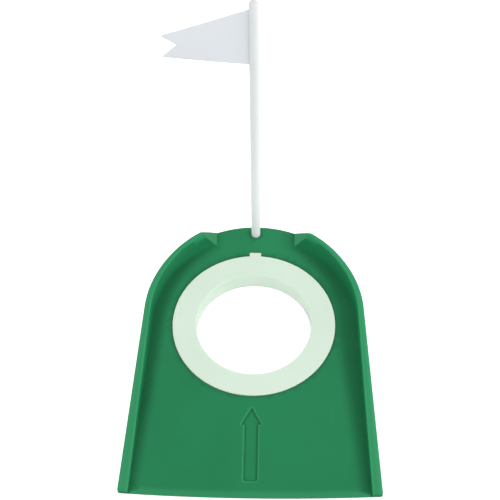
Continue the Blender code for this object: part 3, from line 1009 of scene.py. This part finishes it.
def ring_painted_light(x, y, z):
    """Painted light and shade for the ring, as light let through the plastic: 1 lighter, 0
    darker, 0.5 leaves the colour. Lighter on the bore wall's front and low down, darker high on
    its back left, 0.5 away from the bore.
    """
    r, depth = math.hypot(x, y), ramp(y) - z
    turn = (math.degrees(math.atan2(y, x)) + 90.0) % 360.0 - 90.0   # from the right, 90 at back
    glow = along(turn, (10, 1.0), (30, 0.7), (60, 0.58), (90, 0.58), (110, 0.15),
                 (120, 0.0), (180, 0.0), (230, 1.0))
    start = along(turn, (90, 0.5), (110, 1.5), (130, 5.5), (150, 6.0), (170, 4.0))
    end = along(turn, (90, 7.0), (110, 9.0), (130, 10.0), (150, 10.5), (170, 9.0))
    glow += (1.0 - glow) * step(depth, start, end)
    if r < BORE_R + 0.3 and depth > 0.5:
        return glow
    return 0.25 + 0.5 * glow if r < BORE_R + 0.6 else 0.5


def make_ring():
    rim, arc_count = eared_circle(RING_R, TAB_HALF, TAB_OUT, RING_PARTS)
    top, bore = ring_top(rim)
    build = Build()
    build.sheet(*top)
    full = build.eared_wall(rim, arc_count, RING_R, ramp(np.array(rim)[:, 1]) - RING_EDGE,
                            RING_FOOT + 0.4, TAB_LOW, flip_ear=True)
    shell, sleeve = RING_R - RING_WALL, BORE_R + RING_WALL      # faces inside the hollow
    loops = []
    for reach, z in ((0.0, RING_FOOT + 0.4), (0.12, RING_FOOT + 0.12), (0.4, RING_FOOT),
                     (1.5, RING_FOOT), (1.8, RING_FOOT + 0.3)):
        loops.append(build.plan_loop(scaled(full, (RING_R - reach) / RING_R), z))
    # radius and depth below the top, along under the skin
    for r, drop in ((shell, RING_SKIN + 1.0), (shell - 0.3, RING_SKIN + 0.3),
                    (shell - 1.0, RING_SKIN), (sleeve + 1.4, RING_SKIN),
                    (sleeve + 0.4, RING_SKIN + 0.4), (sleeve, RING_SKIN + 1.4)):
        points = scaled(full, r / RING_R)
        loops.append(build.plan_loop(points, [ramp(y) - drop for _, y in points]))
    # radius and height, down and round the foot of the bore's wall
    for r, z in ((sleeve, BORE_FOOT + 0.3), (sleeve - 0.3, BORE_FOOT),
                 (BORE_R + 0.4, BORE_FOOT), (BORE_R + 0.12, BORE_FOOT + 0.12),
                 (BORE_R, BORE_FOOT + 0.4)):
        loops.append(build.plan_loop(scaled(full, r / RING_R), z))
    build.bands(loops)
    join_by_angle(build,
                  [(x * BORE_R / RING_R, y * BORE_R / RING_R, BORE_FOOT + 0.4) for x, y in full],
                  [(x, y, ramp(y) - RING_FILLET) for x, y in bore])
    ring = build.object("ring_shell", sharp_angle=40.0)
    # painted light and shade on the ring, kept as a point attribute
    add_attribute(ring, "painted_bore_light", [ring_painted_light(*place) for place in vertex_places(ring)])
    register(ring, "ring", "reducer_ring")
    return ring


# ------------------------------------------------------------ flagstick
STICK_R, STICK_TOP, STICK_FOOT, STICK_EDGE = 3.06, 222.7, 2.3, 0.6
STICK_LEAN, LEAN_PIVOT = 0.0034, 0.015      # x per z, and the height in metres it turns about
FLAG_TURN = math.radians(9.8)
FLAG_MID, HOIST, THICK = 195.5, 21.0, 0.7   # mid height, half height at the stick, thickness
FLY, FLY_X, NOTCH_X = 8.1, 54.6, 45.4       # half height and reach of the tips, reach of the cut
SLOT_X, SLOT_PLAY = 0.4, 0.3


def turned(x, y):
    """A plan point of the pennant, drawn along -x from the stick, turned about the stick."""
    c, s = math.cos(FLAG_TURN), math.sin(FLAG_TURN)
    return x * c - y * s, SOCKET_Y + x * s + y * c


def tilt(obj):
    """The stick stands with a hair of play in its socket."""
    for v in obj.data.vertices:
        v.co.x += STICK_LEAN * (v.co.z - LEAN_PIVOT)


def make_stick(parts=64):
    profile = []                            # radius and height, from the domed top down
    for i in range(1, 13):
        a = math.pi / 2 * (1 - i / 12)
        profile.append((STICK_R * math.cos(a), STICK_TOP - STICK_R + STICK_R * math.sin(a)))
    for z in (210.0, 190.0, 170.0, 150.0, 130.0, 110.0, 90.0, 70.0, 50.0, 30.0, 18.0, 9.0):
        profile.append((STICK_R, z))
    for plan, drop in quarter(4):
        profile.append((STICK_R - plan * STICK_EDGE, STICK_FOOT + drop * STICK_EDGE))
    build = Build()
    loops = [build.plan_loop(circle(r, parts, y=SOCKET_Y), z) for r, z in profile]
    build.bands(loops)
    tip = build.loop([(0, SOCKET_Y, STICK_TOP)])[0]
    for i in range(parts):
        build.face((tip, loops[0][i], loops[0][(i + 1) % parts]))
    build.face(loops[-1])
    stick = build.object("stick_rod", sharp_angle=40.0)

    half_y, half_z = THICK / 2 + SLOT_PLAY, HOIST + SLOT_PLAY
    slot = Build()
    slot.prism([turned(x, y) for x, y in box_outline(-12.0, -half_y, -SLOT_X, half_y)],
               FLAG_MID - half_z, FLAG_MID + half_z)
    cut(stick, slot.object("slot_cutter"))
    stick.data.shade_smooth()
    stick.data.set_sharp_from_angle(angle=math.radians(40.0))
    tilt(stick)
    register(stick, "stick", "flagstick")
    return stick


# ------------------------------------------------------------ pennant
FLAG_EDGE = 0.22


def pennant_outline():
    """Swallow-tailed outline in x and z, counter-clockwise from the foot of the hoist."""
    in_slot = -(SLOT_X + 0.3)
    points = [(in_slot, -HOIST), (in_slot, HOIST), (-STICK_R, HOIST), (-FLY_X, FLY),
              (-NOTCH_X, 0.0), (-FLY_X, -FLY), (-STICK_R, -HOIST)]
    for corner, radius in (((-FLY_X, FLY), 0.45), ((-FLY_X, -FLY), 0.45),
                           ((-NOTCH_X, 0.0), 0.5)):
        points = round_corner(points, points.index(corner), radius, 5)
    return split_edges(points, 1.5)


def flag_bow(x, z):
    """How far the thin sheet stands off its plane: none at the stick, a little at the fly."""
    t = np.clip((-x - 4.0) / (FLY_X - 4.0), 0, 1)
    return float(0.55 * t * t - 0.18 * np.sin(t * 5.2) * t + 0.10 * t * (z / HOIST))


def flag_place(points, side):
    """Points (x, z, distance off the mid plane) of one side of the pennant, in place."""
    return [(*turned(x, side * off + flag_bow(x, z)), FLAG_MID + z) for x, z, off in points]


def make_pennant():
    outline = pennant_outline()
    sheet = Sheet(lambda x, z: THICK / 2)
    for plan, drop in quarter(3):
        points = np.array(outline) + mitres(outline) * plan * FLAG_EDGE
        sheet.line([tuple(q) for q in points], drop * FLAG_EDGE, closed=True)
    field = inset(outline, 0.6).tolist()
    sheet.fill((-54, -21), (-1, 21), 1.8, 0.7, lambda x, z: inside(x, z, field))
    points, faces = sheet.triangles(lambda x, z: inside(x, z, outline))
    build = Build()
    build.sheet(flag_place(points, 1), faces)
    build.sheet(flag_place(points, -1), faces, flip=True)
    edge = [(x, z, THICK / 2 - FLAG_EDGE) for x, z in outline]
    build.band(build.loop(flag_place(edge, 1)), build.loop(flag_place(edge, -1)))
    flag = build.object("pennant_sheet", sharp_angle=50.0)
    tilt(flag)
    register(flag, "stick", "pennant")
    return flag


# ------------------------------------------------------------ materials
class Nodes:
    """Short names for building a node tree."""

    def __init__(self, tree):
        self.tree = tree

    @cached_property
    def coord(self):
        return self.tree.nodes.new("ShaderNodeTexCoord")

    def put(self, socket, value):
        if isinstance(value, bpy.types.NodeSocket):
            self.tree.links.new(value, socket)
        else:
            socket.default_value = value

    def node(self, kind, **inputs):
        node = self.tree.nodes.new(kind)
        for name, value in inputs.items():
            self.put(node.inputs[name.replace("_", " ")], value)
        return node

    def mapped(self, scale, rotation=(0, 0, 0)):
        return self.node("ShaderNodeMapping", Vector=self.coord.outputs["Object"],
                         Scale=scale, Rotation=rotation).outputs[0]

    def noise(self, scale, detail=3.0, roughness=0.5, vector=None, distortion=0.0):
        return self.node("ShaderNodeTexNoise", Vector=vector or self.coord.outputs["Object"],
                         Scale=scale, Detail=detail, Roughness=roughness,
                         Distortion=distortion).outputs["Fac"]

    def streaks(self, scale, turn):
        """Noise stretched into fine lines."""
        return self.noise(1.0, detail=2.0, roughness=0.7,
                          vector=self.mapped(scale, (0, 0, turn)))

    def fade(self, value, start, end, low=0.0, high=1.0, smooth=True):
        """The value's range start to end, mapped to low to high and clamped."""
        node = self.node("ShaderNodeMapRange")
        node.interpolation_type = "SMOOTHSTEP" if smooth else "LINEAR"
        self.put(node.inputs["Value"], value)
        for name, v in (("From Min", start), ("From Max", end), ("To Min", low),
                        ("To Max", high)):
            node.inputs[name].default_value = v
        return node.outputs["Result"]

    def math(self, operation, *values):
        node = self.node("ShaderNodeMath")
        node.operation = operation
        for socket, value in zip(node.inputs, values):
            self.put(socket, value)
        return node.outputs[0]

    def mix(self, fac, a, b, blend="MIX"):
        node = self.node("ShaderNodeMix")
        node.data_type = "RGBA"
        node.blend_type = blend
        for index, value in ((0, fac), (6, a), (7, b)):     # factor and the colour sockets
            self.put(node.inputs[index], value)
        return node.outputs[2]

    def attribute(self, name):
        node = self.node("ShaderNodeAttribute")
        node.attribute_name = name
        return node.outputs["Fac"]

    def bump(self, height, strength, distance, **normal):
        return self.node("ShaderNodeBump", Height=height, Strength=strength,
                         Distance=distance, **normal).outputs[0]

    def edge(self, radius):
        """1 on rounded and sharp edges, 0 on open faces."""
        bevel = self.node("ShaderNodeBevel", Radius=radius)
        bevel.samples = 6
        dot = self.node("ShaderNodeVectorMath")
        dot.operation = "DOT_PRODUCT"
        self.put(dot.inputs[0], bevel.outputs[0])
        self.put(dot.inputs[1], self.node("ShaderNodeNewGeometry").outputs["Normal"])
        return self.fade(dot.outputs["Value"], 0.995, 0.90)


def new_material(name):
    material = bpy.data.materials.new(name)
    material.use_nodes = True
    material.node_tree.nodes.clear()
    return material, Nodes(material.node_tree)


def tone(colour, scale, lift=0.0):
    """The colour scaled and lifted, as RGBA."""
    return (*[min(1.0, c * scale + lift) for c in colour[:3]], 1)


SCUFF_SCALE = {"y": (900.0, 22.0, 300.0), "z": (900.0, 900.0, 14.0)}    # long along the axis


def moulded_plastic(name, colour, light, dark, rough, specular, grain=1.0, edge_wear_and_highlight_mix=0.20,
                    scuff_axis="y", sss=0.0, sss_radius=(1.0, 1.0, 1.0), shade=None):
    """Satin moulded plastic: drifting tone, faint flow marks, a fine grain, scuffs along one
    axis, and edges paler, partly as rubbing and partly as a painted highlight. Light and dark
    scale the colour. The function shade(nodes, tint, cloud) may change the colour; it returns
    the new colour, something to take off the roughness and a specular level, the last two None
    to leave them."""
    material, n = new_material(name)
    light, dark = tone(colour, light), tone(colour, dark)
    pale = tone(light, 1.25, 0.04)
    drift = n.noise(9.0, roughness=0.55)
    cloud = n.noise(38.0, detail=4.0, roughness=0.6, distortion=0.4)
    flow = n.noise(1.0, roughness=0.6, vector=n.mapped((60.0, 9.0, 60.0)), distortion=0.3)
    fine_grain = n.noise(1900.0, detail=2.0, roughness=0.6)
    coarse_grain = n.noise(620.0, roughness=0.6)

    scale = SCUFF_SCALE[scuff_axis]
    fine_streaks = n.streaks(scale, 0.05)
    broad_streaks = n.streaks(tuple(s * 0.45 for s in scale), -0.09)
    patches = n.fade(n.noise(26.0, roughness=0.6), 0.50, 0.68)
    scuffs = n.math("MAXIMUM",
                    n.math("MULTIPLY", n.fade(fine_streaks, 0.66, 0.78), patches),
                    n.math("MULTIPLY", n.fade(broad_streaks, 0.67, 0.80), patches))

    tint = n.mix(n.fade(drift, 0.32, 0.68), dark, light)
    tint = n.mix(n.fade(cloud, 0.30, 0.72, high=0.42), tint, (*colour, 1))
    tint = n.mix(n.fade(flow, 0.45, 0.75, high=0.10), tint, light)
    tint = n.mix(n.fade(coarse_grain, 0.35, 0.70, high=0.10 * grain), tint, dark)
    polish = specular_level = None
    if shade:
        tint, polish, specular_level = shade(n, tint, cloud)
    tint = n.mix(n.math("MULTIPLY", scuffs, 0.22), tint, pale)
    # edges paler: partly rubbing, partly a painted highlight
    edge_wear_and_highlight = n.math("MULTIPLY", n.edge(0.0006), n.fade(cloud, 0.35, 0.62, low=0.35))
    tint = n.mix(n.math("MULTIPLY", edge_wear_and_highlight, edge_wear_and_highlight_mix), tint, pale)

    roughness = n.fade(n.noise(120.0, detail=4.0, roughness=0.65), 0.3, 0.7,
                       low=rough - 0.05, high=rough + 0.06)
    roughness = n.math("ADD", roughness, n.math("MULTIPLY", scuffs, 0.14))
    roughness = n.math("SUBTRACT", roughness, n.math("MULTIPLY", edge_wear_and_highlight, 0.09))
    roughness = n.math("ADD", roughness, n.fade(coarse_grain, 0.3, 0.7, low=-0.02, high=0.03))
    if polish:
        roughness = n.math("SUBTRACT", roughness, polish)

    # gentle waviness, two grains and the scuffs; distances in metres
    normal = n.bump(n.noise(55.0, detail=2.0), strength=0.10, distance=0.0006)
    normal = n.bump(coarse_grain, strength=0.18 * grain, distance=0.00012, Normal=normal)
    normal = n.bump(fine_grain, strength=0.25 * grain, distance=0.00005, Normal=normal)
    normal = n.bump(scuffs, strength=-0.20, distance=0.00006, Normal=normal)

    shader = n.node("ShaderNodeBsdfPrincipled", Base_Color=tint, Roughness=roughness,
                    Normal=normal, Specular_IOR_Level=specular, IOR=1.49)
    if specular_level:
        n.put(shader.inputs["Specular IOR Level"], specular_level)
    if sss:
        n.put(shader.inputs["Subsurface Weight"], sss)
        n.put(shader.inputs["Subsurface Radius"], sss_radius)
        n.put(shader.inputs["Subsurface Scale"], 0.0025)
    n.node("ShaderNodeOutputMaterial", Surface=shader.outputs[0])
    return material


def green_plastic():
    colour, specular = (0.0150, 0.222, 0.0845), 0.17

    def shade(n, tint, cloud):
        """Painted highlight on the rim tops, which are also more polished; painted shade beside
        the rims and in the seams, with less specular there.
        """
        # painted highlight where rise is high: rim tops, horn faces, front lip, arrow lip
        crest = n.fade(n.attribute("rise"), 0.86, 1.0)
        tint = n.mix(n.math("MULTIPLY", crest, 0.62), tint, tone(colour, 1.38, 0.026))
        # painted highlight where the sheen mark is set
        tint = n.mix(n.math("MULTIPLY", n.attribute("sheen"), 0.60), tint,
                     tone(colour, 1.75, 0.012))
        # the colour in full painted shade
        painted_shade_tone = n.mix(1.0, tint, (0.52, 0.54, 0.53, 1), "MULTIPLY")
        # the painted light mark, varied a little by noise, mixes from full painted shade to the
        # plain colour
        painted_light = n.math("ADD", n.attribute("painted_light"),
                      n.fade(cloud, 0.3, 0.7, low=-0.03, high=0.03))
        tint = n.mix(painted_light, painted_shade_tone, tint)
        # painted shade in crevices, from an occlusion node
        crevice = n.node("ShaderNodeAmbientOcclusion", Distance=0.0016)
        crevice.samples = 8
        tint = n.mix(n.fade(crevice.outputs["AO"], 0.55, 0.95, low=0.55, high=0.0), tint, painted_shade_tone)
        # less specular in the painted shade
        gloss = n.fade(painted_light, 0.0, 0.7, low=0.45 * specular, high=specular, smooth=False)
        wall_share = n.math("MULTIPLY_ADD", n.attribute("face"), -0.75, 1.0)
        return tint, n.math("MULTIPLY", crest, 0.10), n.math("MULTIPLY", gloss, wall_share)

    return moulded_plastic("green_plastic", colour, light=1.07, dark=0.93, rough=0.46,
                           specular=specular, edge_wear_and_highlight_mix=0.5, shade=shade)


def mint_plastic():
    lit = (1.09, 1.05, 1.09)

    def shade(n, tint, cloud):
        """Painted light and shade, as light let through the plastic: lighter on the bore's front
        and low down, darker high on its back left.
        """
        glow = n.mix(n.attribute("painted_bore_light"), (*[2.0 - c for c in lit], 1), (*lit, 1))
        return n.mix(1.0, tint, glow, "MULTIPLY"), None, None

    return moulded_plastic("mint_plastic", (0.74, 0.89, 0.75), light=1.02, dark=0.965,
                           rough=0.40, specular=0.4, grain=0.6, sss=0.25,
                           sss_radius=(0.8, 1.0, 0.8), shade=shade)


def stick_plastic():
    colour = (0.80, 0.825, 0.83)

    def shade(n, tint, cloud):
        """Paler towards the bottom, fading out 17 cm up."""
        split = n.node("ShaderNodeSeparateXYZ", Vector=n.coord.outputs["Object"])
        paler_low = n.fade(split.outputs["Z"], 0.0, 0.17, low=0.95, high=0.0, smooth=False)
        return n.mix(paler_low, tint, tone(colour, 1.15)), None, None

    return moulded_plastic("stick_plastic", colour, light=1.02, dark=0.965, rough=0.50,
                           specular=0.22, grain=0.6, scuff_axis="z", sss=0.15, shade=shade)


def pennant_plastic():
    return moulded_plastic("pennant_plastic", (0.785, 0.82, 0.86), light=1.015, dark=0.97,
                           rough=0.42, specular=0.4, grain=0.7, scuff_axis="z")


def studio_floor_material():
    """Pale diffuse floor that glows for the camera only."""
    material, n = new_material("studio_floor")
    diffuse = n.node("ShaderNodeBsdfDiffuse", Color=(0.90, 0.90, 0.90, 1))
    seen = n.node("ShaderNodeLightPath").outputs["Is Camera Ray"]
    glow = n.node("ShaderNodeEmission", Color=(1, 1, 1, 1),
                  Strength=n.math("MULTIPLY", seen, 0.74))
    both = n.node("ShaderNodeAddShader")
    n.put(both.inputs[0], diffuse.outputs[0])
    n.put(both.inputs[1], glow.outputs[0])
    n.node("ShaderNodeOutputMaterial", Surface=both.outputs[0])
    return material


def paint(obj, material):
    obj.data.materials.clear()
    obj.data.materials.append(material)


# ------------------------------------------------------------ floor, light, camera
def make_floor():
    mesh = bpy.data.meshes.new("studio_floor")
    bm = bmesh.new()
    bmesh.ops.create_grid(bm, x_segments=2, y_segments=2, size=6.0)
    bm.to_mesh(mesh)
    bm.free()
    floor = bpy.data.objects.new("studio_floor", mesh)
    floor.location.z = -0.0002
    bpy.context.scene.collection.objects.link(floor)
    paint(floor, studio_floor_material())


def make_world():
    """A light tent: a bright band of cloth low all round, dim overhead."""
    tent, overhead, lean = 1.1, 0.62, 0.06      # lean drops the band on the +x side
    world = bpy.data.worlds.new("studio")
    bpy.context.scene.world = world
    world.use_nodes = True
    background = world.node_tree.nodes["Background"]
    background.inputs["Color"].default_value = (1.0, 1.0, 1.0, 1.0)
    n = Nodes(world.node_tree)
    split = n.node("ShaderNodeSeparateXYZ", Vector=n.coord.outputs["Generated"])
    level = n.math("MULTIPLY_ADD", split.outputs["X"], lean, split.outputs["Z"])
    cloth = n.math("MULTIPLY", n.fade(level, 0.16, 0.28),
                   n.math("SUBTRACT", 1.0, n.fade(level, 0.48, 0.62)))
    n.put(background.inputs["Strength"], n.math("MULTIPLY_ADD", cloth, tent, overhead))


def direction(azimuth, elevation):
    """Unit vector towards a place seen from the cup; azimuth 0 is the front, 90 the right."""
    return Vector((math.sin(azimuth) * math.cos(elevation),
                   -math.cos(azimuth) * math.cos(elevation), math.sin(elevation)))


def make_softbox():
    data = bpy.data.lights.new("right_softbox", "AREA")
    data.shape = "RECTANGLE"
    data.size, data.size_y = 1.2, 0.4
    data.energy = 4.0
    lamp = bpy.data.objects.new("right_softbox", data)
    towards = direction(math.radians(90), math.radians(20))
    lamp.location = Vector((0, HOLE_Y, 0.01)) + towards * 1.3
    lamp.rotation_euler = towards.to_track_quat("Z", "Y").to_euler()
    bpy.context.scene.collection.objects.link(lamp)


def make_camera():
    distance, target = 880.1, Vector((-4.25, 70.26, 0))     # mm, from the centre of the hole
    elevation, azimuth, roll = map(math.radians, (51.22, 2.27, 1.23))
    back = direction(azimuth, elevation)
    right = Vector((math.cos(azimuth), math.sin(azimuth), 0))
    up = Vector((-math.sin(elevation) * math.sin(azimuth),
                 math.sin(elevation) * math.cos(azimuth), math.cos(elevation)))
    right, up = (right * math.cos(roll) - up * math.sin(roll),
                 right * math.sin(roll) + up * math.cos(roll))
    eye = (target + back * distance) / 1000 + Vector((0, HOLE_Y, 0))
    camera = bpy.data.objects.new("camera", bpy.data.cameras.new("camera"))
    camera.data.sensor_width = 36
    camera.data.lens = 90.0
    camera.data.clip_start = 0.01
    camera.matrix_world = Matrix(((right.x, up.x, back.x, eye.x),
                                  (right.y, up.y, back.y, eye.y),
                                  (right.z, up.z, back.z, eye.z),
                                  (0, 0, 0, 1)))
    scene = bpy.context.scene
    scene.collection.objects.link(camera)
    scene.camera = camera
    scene.view_settings.view_transform = "Standard"
    scene.view_settings.look = "None"


# ------------------------------------------------------------ putting it together
base = make_base()
ring = make_ring()
stick = make_stick()
pennant = make_pennant()

paint(base, green_plastic())
paint(ring, mint_plastic())
paint(stick, stick_plastic())
paint(pennant, pennant_plastic())

make_floor()
make_world()
make_softbox()
make_camera()
